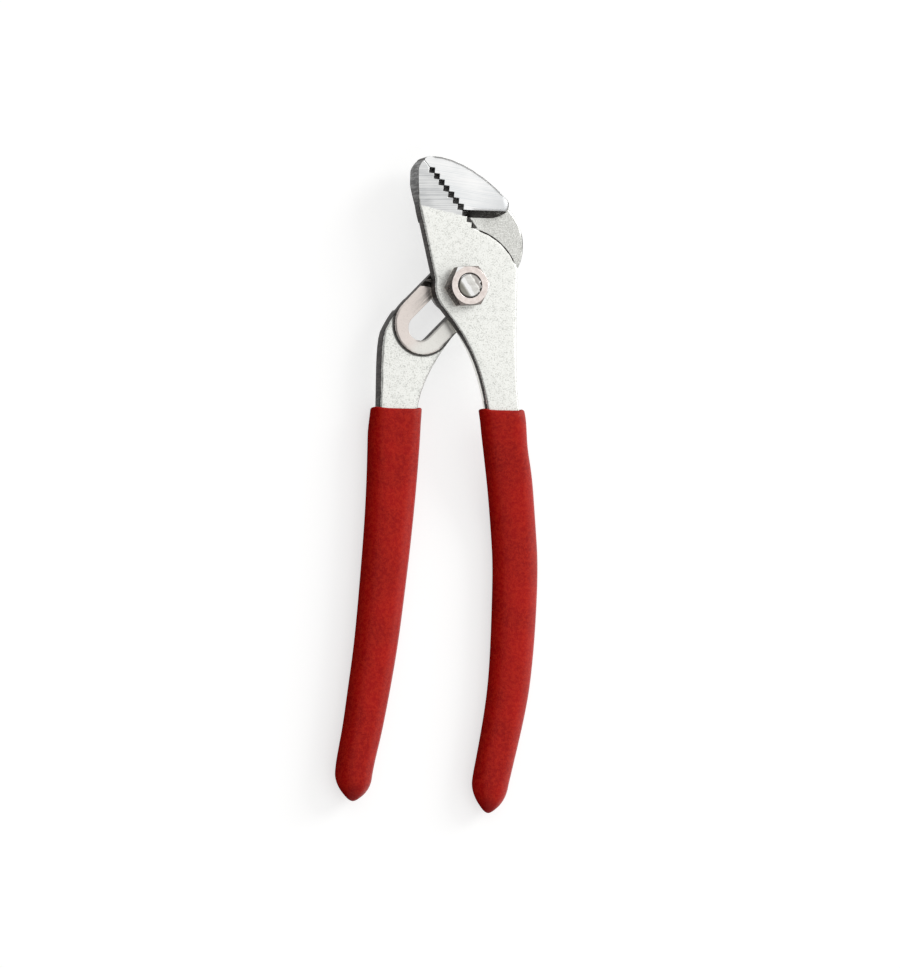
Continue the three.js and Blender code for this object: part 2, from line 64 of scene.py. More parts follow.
distance = PICTURE_HEIGHT * LENS / SENSOR
middle = PIVOT - PICTURE_RIGHT * AIM_LEFT * MM - PICTURE_UP * AIM_BELOW * MM
camera_data = bpy.data.cameras.new("camera")
camera_data.lens = LENS
camera_data.sensor_width = SENSOR
camera_data.clip_start = 0.01
camera_data.clip_end = 50
camera = bpy.data.objects.new("camera", camera_data)
axes = Matrix((PICTURE_RIGHT, PICTURE_UP, TOWARDS_CAMERA)).transposed().to_4x4()
camera.matrix_world = Matrix.Translation(middle + TOWARDS_CAMERA * distance) @ axes
bpy.context.scene.collection.objects.link(camera)
bpy.context.scene.camera = camera
bpy.context.scene.view_settings.view_transform = "Standard"
print("camera stands", round(distance, 3), "m away")

# %% [markdown]
# ## Helpers for node materials
# A finish on a real tool is never one flat colour. Each material below mixes a few noises by place and
# by direction, so it helps to have short words for adding a node, joining two of them and
# mixing by a mask.


# %% Node helpers
def put(tree, socket, value):
    """Joins a node's output to a socket, or writes a plain value there."""
    if isinstance(value, bpy.types.NodeSocket):
        tree.links.new(value, socket)
    else:
        socket.default_value = value


def add(tree, kind, inputs=None, **settings):
    node = tree.nodes.new("ShaderNode" + kind)
    for name, value in settings.items():
        setattr(node, name, value)
    for name, value in (inputs or {}).items():
        put(tree, node.inputs[name], value)
    return node


def sums(tree, operation, first, second):
    return add(tree, "Math", {0: first, 1: second}, operation=operation).outputs[0]


def weighted(tree, *pairs):
    """Adds values up, each of them times its weight."""
    total = None
    for value, weight in pairs:
        share = sums(tree, "MULTIPLY", value, weight)
        total = share if total is None else sums(tree, "ADD", total, share)
    return total


def diagonal(tree, first, second):
    squares = weighted(tree, (first, first), (second, second))
    return sums(tree, "SQRT", squares, 0.0)


def both(tree, *masks):
    """One mask that is open only where all of them are."""
    result = masks[0]
    for mask in masks[1:]:
        result = sums(tree, "MULTIPLY", result, mask)
    return result


def ramp(tree, value, low, high, start=0.0, end=1.0):
    """A soft step: start below low, end above high."""
    inputs = {"Value": value, "From Min": low, "From Max": high, "To Min": start, "To Max": end}
    return add(tree, "MapRange", inputs, interpolation_type="SMOOTHSTEP").outputs["Result"]


def fall(tree, value, low, high):
    """A soft step down: open below low, closed above high."""
    return ramp(tree, value, low, high, 1.0, 0.0)


def noise(tree, place, scale, detail=2.0, roughness=0.5):
    inputs = {"Vector": place, "Scale": scale, "Detail": detail, "Roughness": roughness}
    return add(tree, "TexNoise", inputs).outputs[0]


def stretched(tree, place, scale, turn=0.0):
    """Places turned and then squeezed, so that a noise on them makes streaks along the turn."""
    inputs = {
        "Vector": place,
        "Scale": [1 / value for value in scale],
        "Rotation": (0.0, 0.0, math.radians(turn)),
    }
    return add(tree, "Mapping", inputs, vector_type="TEXTURE").outputs["Vector"]


def mixed(tree, mask, first, second):
    node = add(tree, "Mix", data_type="RGBA")
    for index, value in ((0, mask), (6, first), (7, second)):
        put(tree, node.inputs[index], value)
    return node.outputs[2]


def blended(tree, mask, first, second):
    node = add(tree, "Mix", data_type="FLOAT")
    for index, value in ((0, mask), (2, first), (3, second)):
        put(tree, node.inputs[index], value)
    return node.outputs[0]


def colour(red, green, blue):
    """A colour as it is picked on a screen, 0 to 255, turned to the linear values of the shader."""
    def linear(value):
        share = value / 255
        return share / 12.92 if share <= 0.04045 else ((share + 0.055) / 1.055) ** 2.4
    return (linear(red), linear(green), linear(blue), 1.0)


def finish(name):
    """A new material with its shader and the place of each point in millimetres."""
    material = bpy.data.materials.new(name)
    material.use_nodes = True
    tree = material.node_tree
    shader = tree.nodes["Principled BSDF"]
    coordinates = add(tree, "TexCoord")
    place = add(tree, "VectorMath", {0: coordinates.outputs["Object"], 1: (1000, 1000, 1000)},
                operation="MULTIPLY").outputs[0]
    return material, tree, shader, place, coordinates.outputs["Normal"]


def bevelled(tree, radius):
    """The direction of the surface as if its edges were rounded by this many millimetres."""
    return add(tree, "Bevel", {"Radius": radius * MM}, samples=6).outputs["Normal"]


def agreement(tree, first, second):
    """1 where two directions agree, and less the more they part."""
    return add(tree, "VectorMath", {0: first, 1: second}, operation="DOT_PRODUCT").outputs["Value"]


def relief(tree, shader, strength, depth, height, **normal):
    """Small dents and bumps from a height, with a depth in millimetres."""
    inputs = {"Strength": strength, "Distance": depth * MM, "Height": height, **normal}
    put(tree, shader.inputs["Normal"], add(tree, "Bump", inputs).outputs["Normal"])


print("node helpers ready")

# %% [markdown]
# ## The stage
# The tool lies on a white table under one wide soft light from above and the right, with little
# light from the left. That is why the left-hand edges of the steel are dark in the photograph and the
# right-hand edges white. The table glows a little for the camera and for reflections, so it comes out
# white without more light on the tool, and it still takes the tool's soft shadow.

# %% Floor
FLOOR_SIZE, FLOOR_GAP = 6.0, 0.02
TABLE_GREY, TABLE_GLOW = 0.45, 0.63
bpy.ops.mesh.primitive_grid_add(x_subdivisions=4, y_subdivisions=4, size=FLOOR_SIZE)
floor = bpy.context.object
floor.name = "table"
floor.location.z = -FLOOR_GAP * MM
white, tree, shader, _, _ = finish("white_table")
path = add(tree, "LightPath")
seen = sums(tree, "MAXIMUM", path.outputs["Is Camera Ray"], path.outputs["Is Glossy Ray"])
seen = sums(tree, "MAXIMUM", seen, path.outputs["Is Transmission Ray"])
shader.inputs["Base Color"].default_value = (TABLE_GREY, TABLE_GREY, TABLE_GREY, 1.0)
shader.inputs["Roughness"].default_value = 1.0
shader.inputs["Specular IOR Level"].default_value = 0.0
shader.inputs["Emission Color"].default_value = (1.0, 1.0, 1.0, 1.0)
put(tree, shader.inputs["Emission Strength"], sums(tree, "MULTIPLY", seen, TABLE_GLOW))
floor.data.materials.append(white)
print("table", FLOOR_SIZE, "m wide")

# %% World and lamp
SKY_LEAN, SKY_EDGE = 0.25, (-0.78, -0.22)
SKY_DIM, SKY_BRIGHT = 0.12, 0.87
LAMP_PLACE, LAMP_AIM = (0.9, 0.55, 0.55), Vector((0, -0.03, 0))
world = bpy.data.worlds.new("studio")
world.use_nodes = True
bpy.context.scene.world = world
tree = world.node_tree
sky = add(tree, "TexCoord").outputs["Generated"]
axis = add(tree, "SeparateXYZ", {"Vector": sky})
side = sums(tree, "ADD", axis.outputs["X"], sums(tree, "MULTIPLY", axis.outputs["Y"], SKY_LEAN))
level = ramp(tree, side, *SKY_EDGE, SKY_DIM, SKY_BRIGHT)
background = tree.nodes["Background"]
put(tree, background.inputs["Strength"], level)
background.inputs["Color"].default_value = (1.0, 0.995, 0.985, 1.0)

lamp_data = bpy.data.lights.new("softbox", "AREA")
lamp_data.shape = "RECTANGLE"
lamp_data.size = 0.5
lamp_data.size_y = 0.6
lamp_data.energy = 6.5
lamp = bpy.data.objects.new("softbox", lamp_data)
lamp.location = LAMP_PLACE
lamp.rotation_euler = (LAMP_AIM - lamp.location).to_track_quat("-Z", "Y").to_euler()
bpy.context.scene.collection.objects.link(lamp)
print("softbox", lamp_data.size, "by", lamp_data.size_y, "m")

# %% [markdown]
# ## Soft edges on the forgings
# The solids come in as bare facets. A small node group welds their corners, shades the facets smooth
# and keeps the sharp edges sharp. A weighted normal after it keeps the wide flat faces truly
# flat, so that they reflect like ground steel and don't look like a pillow.


# %% Shading modifier
WELD_DISTANCE, LEVER_SHARP_ANGLE = 0.002, 50


def smooth_facets(sharp_angle):
    group = bpy.data.node_groups.new("smooth_facets", "GeometryNodeTree")
    group.interface.new_socket("Geometry", in_out="INPUT", socket_type="NodeSocketGeometry")
    group.interface.new_socket("Geometry", in_out="OUTPUT", socket_type="NodeSocketGeometry")
    nodes = group.nodes
    start, end = nodes.new("NodeGroupInput"), nodes.new("NodeGroupOutput")
    weld = nodes.new("GeometryNodeMergeByDistance")
    weld.inputs["Distance"].default_value = WELD_DISTANCE * MM
    faces = nodes.new("GeometryNodeSetShadeSmooth")
    edges = nodes.new("GeometryNodeSetShadeSmooth")
    edges.domain = "EDGE"
    angle = nodes.new("GeometryNodeInputMeshEdgeAngle")
    steep = nodes.new("FunctionNodeCompare")
    steep.inputs["B"].default_value = math.radians(sharp_angle)
    edges.inputs["Shade Smooth"].default_value = False
    for first, second in (
        (start.outputs[0], weld.inputs["Geometry"]),
        (weld.outputs[0], faces.inputs["Geometry"]),
        (faces.outputs[0], edges.inputs["Geometry"]),
        (angle.outputs["Unsigned Angle"], steep.inputs["A"]),
        (steep.outputs[0], edges.inputs["Selection"]),
        (edges.outputs[0], end.inputs[0]),
    ):
        group.links.new(first, second)
    return group


LEVER_FACETS = smooth_facets(LEVER_SHARP_ANGLE)
for lever in ("back_lever", "front_lever"):
    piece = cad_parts[lever]
    modifier = piece.modifiers.new("smooth_facets", "NODES")
    modifier.node_group = LEVER_FACETS
    flat_faces = piece.modifiers.new("flat_faces", "WEIGHTED_NORMAL")
    flat_faces.keep_sharp = True
print("levers shaded smooth")

# %% [markdown]
# ## The finish of the levers
# Each lever is a drop forging. Its wide faces were tumbled and plated, which leaves a pearly grain.
# The jaws were then ground flat on a belt, which leaves fine streaks across them. The flanks were only
# trimmed in the press and stayed dark. One material holds all three: the direction of the surface
# tells a face from a flank, and the place along the lever tells where the grinding stopped.

# %% Forged steel
FACE_LIGHT, FACE_DARK = colour(250, 251, 247), colour(190, 192, 187)
FLANK_DARK, FLANK_LIGHT = colour(30, 26, 25), colour(74, 68, 65)
JAW_WALL_DARK, JAW_WALL_LIGHT = colour(84, 84, 84), colour(150, 150, 150)
# The bright edge colour is for wear and the trimmed flash. The dark colour is painted shade in corners,
# gaps and shadow lines, and also the colour of the burrs.
EDGE_BRIGHT, SHADE_AND_BURR_DARK = colour(246, 246, 242), colour(46, 42, 40)
WORN_RADIUS, SHADOW_LINE_RADIUS, BURR_RADIUS = 0.16, 0.85, 1.3
FLAT = (0.93, 0.985)


def distance_along(tree, at, start, angle):
    """How far a point lies along a line in the plane of the lever, and how far to its left."""
    turn = math.radians(angle)
    x = sums(tree, "SUBTRACT", at["X"], start[0])
    y = sums(tree, "SUBTRACT", at["Y"], start[1])
    along = weighted(tree, (x, math.cos(turn)), (y, math.sin(turn)))
    left = weighted(tree, (y, math.cos(turn)), (x, -math.sin(turn)))
    return along, left


def lever_finish(name, build):
    """The finish that both levers share. The build step adds what only one of them has."""
    material, tree, shader, place, normal = finish(name)
    at = add(tree, "SeparateXYZ", {"Vector": place}).outputs
    facing = sums(tree, "ABSOLUTE", add(tree, "SeparateXYZ", {"Vector": normal}).outputs["Z"], 0.0)
    grain = noise(tree, place, 3.6, 3.0, 0.6)
    fine = noise(tree, place, 8.5, 2.0, 0.6)
    mottle = noise(tree, place, 1.1, 2.0, 0.5)
    pearl = weighted(tree, (grain, 0.55), (fine, 0.25), (mottle, 0.2))
    parts = {"tree": tree, "place": place, "at": at, "facing": facing, "grain": grain, "pearl": pearl}
    parts["skin"] = mixed(tree, ramp(tree, pearl, 0.33, 0.55), FACE_DARK, FACE_LIGHT)
    parts["roughness"] = ramp(tree, pearl, 0.35, 0.65, 0.46, 0.34)
    parts["height"] = pearl

    scratches = noise(tree, stretched(tree, place, (3.0, 3.0, 0.4)), 1.0, 4.0, 0.65)
    parts["flank"] = mixed(tree, ramp(tree, scratches, 0.42, 0.68), FLANK_DARK, FLANK_LIGHT)
    parts["scratches"] = scratches
    build(parts)

    stray = sums(tree, "MULTIPLY", sums(tree, "SUBTRACT", grain, 0.5), 0.7)
    ragged = sums(tree, "ADD", facing, stray)
    flank_mask = fall(tree, ragged, 0.34, 0.56)
    skin = mixed(tree, flank_mask, parts["skin"], parts["flank"])
    rounded = bevelled(tree, WORN_RADIUS)
    true_normal = add(tree, "NewGeometry").outputs["Normal"]
    open_face = agreement(tree, rounded, true_normal)
    worn = both(tree, ramp(tree, open_face, 0.86, 0.985, 0.5, 0.0), ramp(tree, grain, 0.36, 0.6))
    skin = mixed(tree, worn, skin, EDGE_BRIGHT)
    # Painted shadow lines: inside the given regions, rounded edges and slopes are painted dark where
    # shade falls. Dark burrs are then speckled along two edges.
    if "sooty_edge" in parts:
        open_face = agreement(tree, bevelled(tree, SHADOW_LINE_RADIUS), true_normal)
        edge = sums(tree, "MAXIMUM", ramp(tree, open_face, 0.93, 0.996, 0.9, 0.0),
                    ramp(tree, facing, *FLAT, 0.9, 0.0))
        skin = mixed(tree, both(tree, edge, parts["sooty_edge"]), skin, SHADE_AND_BURR_DARK)
        open_face = agreement(tree, bevelled(tree, BURR_RADIUS), true_normal)
        speckle = ramp(tree, noise(tree, place, 2.4, 2.0, 0.6), 0.46, 0.56, 0.0, 0.75)
        burr = both(tree, fall(tree, open_face, 0.9, 0.999), speckle, parts["burr"])
        skin = mixed(tree, burr, skin, SHADE_AND_BURR_DARK)
    put(tree, shader.inputs["Base Color"], skin)
    put(tree, shader.inputs["Roughness"], blended(tree, flank_mask, parts["roughness"], 0.5))
    shader.inputs["Metallic"].default_value = 1.0
    relief(tree, shader, 0.5, 0.04, parts["height"], Normal=rounded)
    return material


def grind(parts, mask, dark, light, turn):
    """Belt-ground streaks wherever the mask says so."""
    tree = parts["tree"]
    streaks = noise(tree, stretched(tree, parts["place"], (0.07, 6.5, 1.0), turn), 1.0, 6.0, 0.66)
    clouds = noise(tree, parts["place"], 0.22, 2.0, 0.5)
    tone = weighted(tree, (streaks, 0.75), (clouds, 0.25))
    belt = mixed(tree, ramp(tree, tone, 0.36, 0.62), dark, light)
    gloss = ramp(tree, streaks, 0.3, 0.7, 0.4, 0.28)
    parts["skin"] = mixed(tree, mask, parts["skin"], belt)
    parts["roughness"] = blended(tree, mask, parts["roughness"], gloss)
    parts["height"] = blended(tree, mask, parts["height"], sums(tree, "MULTIPLY", streaks, 0.4))


# Painted shade: mixes the dark colour in where the mask is open.
def paint_shade(parts, mask):
    parts["skin"] = mixed(parts["tree"], mask, parts["skin"], SHADE_AND_BURR_DARK)


print("steel helpers ready")

# %% [markdown]
# On the front lever the belt stopped in a slanting line under the teeth. A painted shadow line runs
# along the edge that follows the round of the joint, where it laps over the back lever, and the wall of
# the jaw was brushed lighter than the flank.
# Along the handle the press sheared the flash off, which leaves a bright band low on the flank.

# %% Front lever
BELT_STOP, BELT_LEAN, BELT_TURN = (13.75, 14.1), 0.2, 2.0
FRONT_BELT_DARK, FRONT_BELT_LIGHT = colour(184, 186, 188), colour(234, 235, 235)
TRIM_LOW, TRIM_HIGH, TRIM_SOFT = 5.8, 7.45, 0.12


def front_details(parts):
    tree, at, facing = parts["tree"], parts["at"], parts["facing"]
    line = sums(tree, "ADD", at["Y"], sums(tree, "MULTIPLY", at["X"], BELT_LEAN))
    wander = sums(tree, "MULTIPLY", noise(tree, parts["place"], 0.5), 0.7)
    line = sums(tree, "ADD", line, wander)
    ground = both(tree, ramp(tree, line, *BELT_STOP), ramp(tree, facing, *FLAT))
    grind(parts, ground, FRONT_BELT_DARK, FRONT_BELT_LIGHT, BELT_TURN)
    # Painted shadow: a dark line along the round edge of the joint, where it laps over the back lever,
    # made rougher so it holds no highlight.
    arc_shadow = both(tree, fall(tree, facing, 0.96, 0.995), ramp(tree, at["Y"], 4.2, 5.4),
               fall(tree, at["Y"], 11.6, 12.2), ramp(tree, at["X"], 2.6, 3.2))
    paint_shade(parts, arc_shadow)
    parts["roughness"] = blended(tree, arc_shadow, parts["roughness"], 0.7)
    trim_top = ramp(tree, at["Y"], -2.0, -14.0, TRIM_LOW, TRIM_HIGH)
    trim = fall(tree, sums(tree, "SUBTRACT", at["Z"], trim_top), -TRIM_SOFT, TRIM_SOFT)
    trim = both(tree, trim, ramp(tree, at["Y"], -1.0, -3.0), ramp(tree, parts["scratches"], 0.2, 0.4))
    parts["flank"] = mixed(tree, trim, parts["flank"], EDGE_BRIGHT)
    wall = mixed(tree, ramp(tree, parts["scratches"], 0.4, 0.7), JAW_WALL_DARK, JAW_WALL_LIGHT)
    parts["flank"] = mixed(tree, ramp(tree, at["Y"], 13.0, 20.5), parts["flank"], wall)


FRONT_STEEL = lever_finish("front_forging", front_details)
print("front lever finish:", len(FRONT_STEEL.node_tree.nodes), "nodes")

# %% [markdown]
# On the back lever the upper jaw is ground bright. The band round the slot was pressed smooth and shows
# the warm plate, with brush marks along the slot that carry painted shade near its upper rim. Painted
# shade lies in the corner below the band, in the end of a groove, in the throat behind the last teeth
# and on the face of the neck, and painted shadow lines run along the crown of the jaw, the lower arm of
# the band and the lower rim of the slot.

# %% Back lever
SLOT_ANGLE, BOSS_END, BAND_HALF = 45, -10.2, 5.7
BITE_START, BITE_ANGLE = (-6.96, 22.63), -51.1
BOSS_WARM, BOSS_PALE = colour(234, 222, 216), colour(238, 236, 231)
BACK_BELT_DARK, BACK_BELT_LIGHT, BACK_BELT_TURN = colour(226, 229, 231), colour(255, 255, 255), -7.0
JAW_STEP, BAND_STEP, NECK_TOP = (7.2, 7.6), (5.3, 5.5), (6.3, 6.8)
# The grey of the neck is painted shade, and the dark of the brushing is brush streaks deepened by
# painted shade.
JAW_DULL, NECK_SHADE, BRUSH_AND_SHADE = colour(214, 216, 218), colour(190, 190, 186), colour(128, 121, 115)


def back_details(parts):
    tree, at, facing = parts["tree"], parts["at"], parts["facing"]
    jaw = both(tree, ramp(tree, at["Z"], *JAW_STEP), ramp(tree, facing, *FLAT))
    grind(parts, jaw, BACK_BELT_DARK, BACK_BELT_LIGHT, BACK_BELT_TURN)
    dull = both(tree, jaw, ramp(tree, at["X"], 1.5, 8.5), ramp(tree, at["Y"], 20.0, 15.5))
    parts["skin"] = mixed(tree, sums(tree, "MULTIPLY", dull, 0.75), parts["skin"], JAW_DULL)
    # Painted shade on the face of the neck, broken up by the grain.
    neck = both(tree, ramp(tree, at["X"], 3.0, 6.0), ramp(tree, at["Y"], 2.0, 4.0),
                fall(tree, at["Z"], *NECK_TOP), ramp(tree, parts["grain"], 0.66, 0.40, 0.25, 0.75))
    parts["skin"] = mixed(tree, neck, parts["skin"], NECK_SHADE)
    along, left = distance_along(tree, at, (0, 0), SLOT_ANGLE)
    past = sums(tree, "MINIMUM", sums(tree, "SUBTRACT", along, BOSS_END), 0.0)
    reach = diagonal(tree, past, left)
    boss = both(tree, ramp(tree, at["Z"], *BAND_STEP), fall(tree, along, -2.0, 0.5))
    brush = stretched(tree, parts["place"], (0.25, 4.5, 1.0), SLOT_ANGLE)
    brushed = noise(tree, brush, 1.0, 4.0, 0.6)
    warm = mixed(tree, ramp(tree, left, -3.0, 0.0), BOSS_PALE, BOSS_WARM)
    # Brush streaks near the upper rim of the slot, deepened as painted shade.
    brush_and_shade = both(tree, ramp(tree, brushed, 0.64, 0.40), ramp(tree, left, 5.4, 2.6),
                ramp(tree, left, 0.5, 1.5), ramp(tree, along, -11.0, -4.5))
    warm = mixed(tree, sums(tree, "MULTIPLY", brush_and_shade, 0.85), warm, BRUSH_AND_SHADE)
    parts["skin"] = mixed(tree, sums(tree, "MULTIPLY", boss, 0.8), parts["skin"], warm)
    parts["roughness"] = blended(tree, boss, parts["roughness"], 0.32)
    pressed = sums(tree, "MULTIPLY", parts["pearl"], 0.35)
    parts["height"] = blended(tree, boss, parts["height"], pressed)
    # Painted shade on the handle face in the corner below the band, beside its wall.
    corner = both(tree, fall(tree, reach, BAND_HALF + 0.22, BAND_HALF + 0.5),
                  fall(tree, at["Z"], 5.25, 5.4), ramp(tree, at["Z"], 3.5, 4.0))
    paint_shade(parts, sums(tree, "MULTIPLY", corner, 0.9))
    # Painted shade in the end of a groove in the band.
    groove_shade = both(tree, ramp(tree, left, 4.2, 4.8), ramp(tree, along, -5.0, -4.3),
                       fall(tree, along, -1.5, -0.5), ramp(tree, at["Z"], 4.0, 4.6))
    paint_shade(parts, sums(tree, "MULTIPLY", groove_shade, 0.9))
    bite, across = distance_along(tree, at, BITE_START, BITE_ANGLE)
    # Painted shadow lines along the crown of the upper jaw, the lower arm of the band and the lower rim
    # of the slot.
    crown = both(tree, ramp(tree, across, 1.6, 2.2), ramp(tree, at["Z"], 7.0, 7.4),
                 ramp(tree, at["Y"], 14.2, 15.2))
    arm = both(tree, ramp(tree, left, -4.3, -4.8), ramp(tree, along, -11.5, -9.5),
               ramp(tree, along, -1.0, -2.0), ramp(tree, at["Z"], 5.0, 5.2))
    slot_rim = both(tree, ramp(tree, left, -0.8, -1.6), ramp(tree, left, -3.7, -3.2),
                    ramp(tree, along, -14.5, -13.8), ramp(tree, at["Z"], 5.0, 5.2, 0.0, 0.7))
    parts["sooty_edge"] = sums(tree, "MAXIMUM", crown, sums(tree, "MAXIMUM", arm, slot_rim))
    head_burr = both(tree, ramp(tree, at["X"], 6.6, 7.6), ramp(tree, at["Y"], 3.0, 5.0),
                     fall(tree, at["Z"], *NECK_TOP))
    handle_burr = both(tree, ramp(tree, at["X"], -11.5, -10.5), ramp(tree, at["Y"], -9.0, -11.0),
                       fall(tree, at["Z"], 5.15, 5.3))
    parts["burr"] = sums(tree, "MAXIMUM", head_burr, handle_burr)
    # Painted shade: a dark strip on the neck along the bite line, under the last teeth of the front
    # lever.
    throat = both(tree, fall(tree, across, 1.25, 1.45), ramp(tree, bite, 9.6, 10.0),
                  fall(tree, bite, 15.0, 15.4), fall(tree, at["Z"], 6.3, 6.6))
    paint_shade(parts, sums(tree, "MULTIPLY", throat, 0.92))


BACK_STEEL = lever_finish("back_forging", back_details)
print("back lever finish:", len(BACK_STEEL.node_tree.nodes), "nodes")


# %% Dress the levers
def dress(piece, material):
    piece.data.materials.clear()
    piece.data.materials.append(material)


dress(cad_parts["front_lever"], FRONT_STEEL)
dress(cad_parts["back_lever"], BACK_STEEL)
print("levers finished")

# %% [markdown]
# ## Making a skin from rings
# The nut, the bolt and the grips are all closed skins through a row of rings with equal counts of
# points. A mesh written this way has clean rows of four-sided faces, with more of them where the form
# turns.


# %% Skins
def skin_of(name, rings, closed_loop=False):
    """One skin through the rings: closed back to the first one, or with a fan at each end."""
    count = len(rings[0])
    corners = [point for ring in rings for point in ring]
    faces = []
    rows = len(rings) if closed_loop else len(rings) - 1
    for row in range(rows):
        low, high = row * count, ((row + 1) % len(rings)) * count
        for step in range(count):
            after = (step + 1) % count
            faces.append((low + step, low + after, high + after, high + step))
    if not closed_loop:
        for ring, turn in ((0, -1), (len(rings) - 1, 1)):
            centre = sum((Vector(point) for point in rings[ring]), Vector()) / count
            corners.append(centre)
            for step in range(count):
                pair = [ring * count + step, ring * count + (step + 1) % count][::turn]
                faces.append((*pair, len(corners) - 1))
    mesh = bpy.data.meshes.new(name)
    mesh.from_pydata([Vector(point) * MM for point in corners], [], faces)
    mesh.validate()
    mesh.update()
    piece = bpy.data.objects.new(name, mesh)
    bpy.context.scene.collection.objects.link(piece)
    return piece


def shade(piece, angle):
    for face in piece.data.polygons:
        face.use_smooth = True
    modifier = piece.modifiers.new("smooth_facets", "NODES")
    modifier.node_group = smooth_facets(angle)


print("skin helper ready")

# %% [markdown]
# ## The hexagon nut
# A nut starts as a six-sided bar, and its ends are turned on a lathe. Where the cone of the lathe tool
# meets the flats it leaves the curved lines that make a nut look like a nut. Here every ring has a
# point each few degrees: its outer radius follows the hexagon, and its height drops by the cone.

# %% Nut form
NUT_FLATS, NUT_FACE, NUT_BORE = 3.65, 3.6, 2.25
NUT_LOW, NUT_HIGH, NUT_TURN = 9.0, 12.0, 184.0
NUT_CONE, NUT_LEAD, NUT_EDGE = math.tan(math.radians(35)), 0.2, 0.06
NUT_STEPS, NUT_SHARP_ANGLE = 180, 24


def hexagon(angle):
    part = (angle - NUT_TURN + 30) % 60 - 30
    return NUT_FLATS / math.cos(math.radians(30 - abs(part)))


def top(radius):
    return NUT_HIGH - max(0.0, radius - NUT_FACE) * NUT_CONE


def shoulder(radius):
    return top(radius) - NUT_EDGE


def foot(radius):
    return NUT_LOW + max(0.0, radius - NUT_FLATS) * NUT_CONE


def hexagon_ring(height_of, inset=0.0):
    """A ring on the flats of the nut, with a height that depends on the radius."""
    ring = []
    for step in range(NUT_STEPS):
        angle = NUT_TURN + step * 360 / NUT_STEPS
        radius = hexagon(angle) - inset
        turn = math.radians(angle)
        ring.append((radius * math.cos(turn), radius * math.sin(turn), height_of(radius)))
    return ring


def round_ring(radius, height):
    turns = [math.radians(NUT_TURN + step * 360 / NUT_STEPS) for step in range(NUT_STEPS)]
    return [(radius * math.cos(turn), radius * math.sin(turn), height) for turn in turns]


nut_rings = [
    round_ring(NUT_BORE, NUT_LOW + NUT_LEAD),
    round_ring(NUT_BORE + NUT_LEAD, NUT_LOW),
    round_ring(NUT_FLATS - NUT_EDGE, NUT_LOW),
    hexagon_ring(foot),
    hexagon_ring(shoulder),
    hexagon_ring(top, NUT_EDGE * 0.6),
    round_ring(NUT_FACE, NUT_HIGH),
    round_ring(NUT_FACE - NUT_EDGE, NUT_HIGH),
    round_ring(NUT_BORE + NUT_LEAD, NUT_HIGH),
    round_ring(NUT_BORE, NUT_HIGH - NUT_LEAD),
]
nut = skin_of("hexagon_nut", nut_rings, closed_loop=True)
shade(nut, NUT_SHARP_ANGLE)
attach(nut, "pivot")
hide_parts("pivot_nut")
print("nut points:", len(nut.data.vertices))

# %% [markdown]
# ## The peened bolt
# After the nut was run up, the end of the bolt was struck, so the nut can't come off. The blow leaves
# a low dome with three flat sides and two small nicks at its rim. The dome is turned from a profile,
# and its points are then pushed under three leaning planes.

# %% Bolt form
HEAD_RADIUS, HEAD_HEIGHT, SHANK_RADIUS, THREAD_RADIUS = 4.2, 2.9, 2.3, 2.15
PLATE_TOP, BOLT_TOP, DOME, SPREAD_RADIUS = 8.9, 12.35, 0.42, 2.32
CENTRE_FLAT, CHAMFER, CHAMFER_INNER, CHAMFER_ROUND, HEAD_EDGE = 0.6, 0.42, 0.36, 0.02, 0.05
THREAD_END, SPREAD_EDGE = 0.8, 0.04
BOLT_STEPS, DOME_STEPS, BOLT_SHARP_ANGLE, NICK_WIDTH = 120, 16, 32, 0.28
STRIKES = ((214, 0.34, 0.9), (28, 0.07, 0.1), (110, 0.2, 1.0))
NICKS = ((14, 0.2), (336, 0.17))


def bolt_profile():
    """Radius and height of each ring, from the flat end of the head up to the dome."""
    points = [
        (CENTRE_FLAT, 0.0),
        (HEAD_RADIUS - CHAMFER, 0.0),
        (HEAD_RADIUS - CHAMFER_INNER, CHAMFER_ROUND),
        (HEAD_RADIUS - CHAMFER_ROUND, CHAMFER_INNER),
        (HEAD_RADIUS, CHAMFER),
        (HEAD_RADIUS, HEAD_HEIGHT - HEAD_EDGE),
        (HEAD_RADIUS - HEAD_EDGE, HEAD_HEIGHT),
        (SHANK_RADIUS, HEAD_HEIGHT),
        (SHANK_RADIUS, PLATE_TOP),
        (THREAD_RADIUS, PLATE_TOP),
        (THREAD_RADIUS, BOLT_TOP - THREAD_END),
        (SPREAD_RADIUS - SPREAD_EDGE, BOLT_TOP - DOME - 2 * SPREAD_EDGE),
        (SPREAD_RADIUS, BOLT_TOP - DOME),
    ]
    for step in range(1, DOME_STEPS):
        angle = math.radians(90 * step / DOME_STEPS)
        points.append((SPREAD_RADIUS * math.cos(angle), BOLT_TOP - DOME * (1 - math.sin(angle))))
    return points


def struck(x, y, z):
    """A point of the dome after the blows: no higher than each leaning plane."""
    for direction, slope, reach in STRIKES:
        turn = math.radians(direction)
        away = x * math.cos(turn) + y * math.sin(turn)
        z = min(z, BOLT_TOP - slope * max(0.0, away - reach))
    for direction, depth in NICKS:
        turn = math.radians(direction)
        gap = math.hypot(x - SPREAD_RADIUS * math.cos(turn), y - SPREAD_RADIUS * math.sin(turn))
        z -= depth * math.exp(-((gap / NICK_WIDTH) ** 2))
    return z


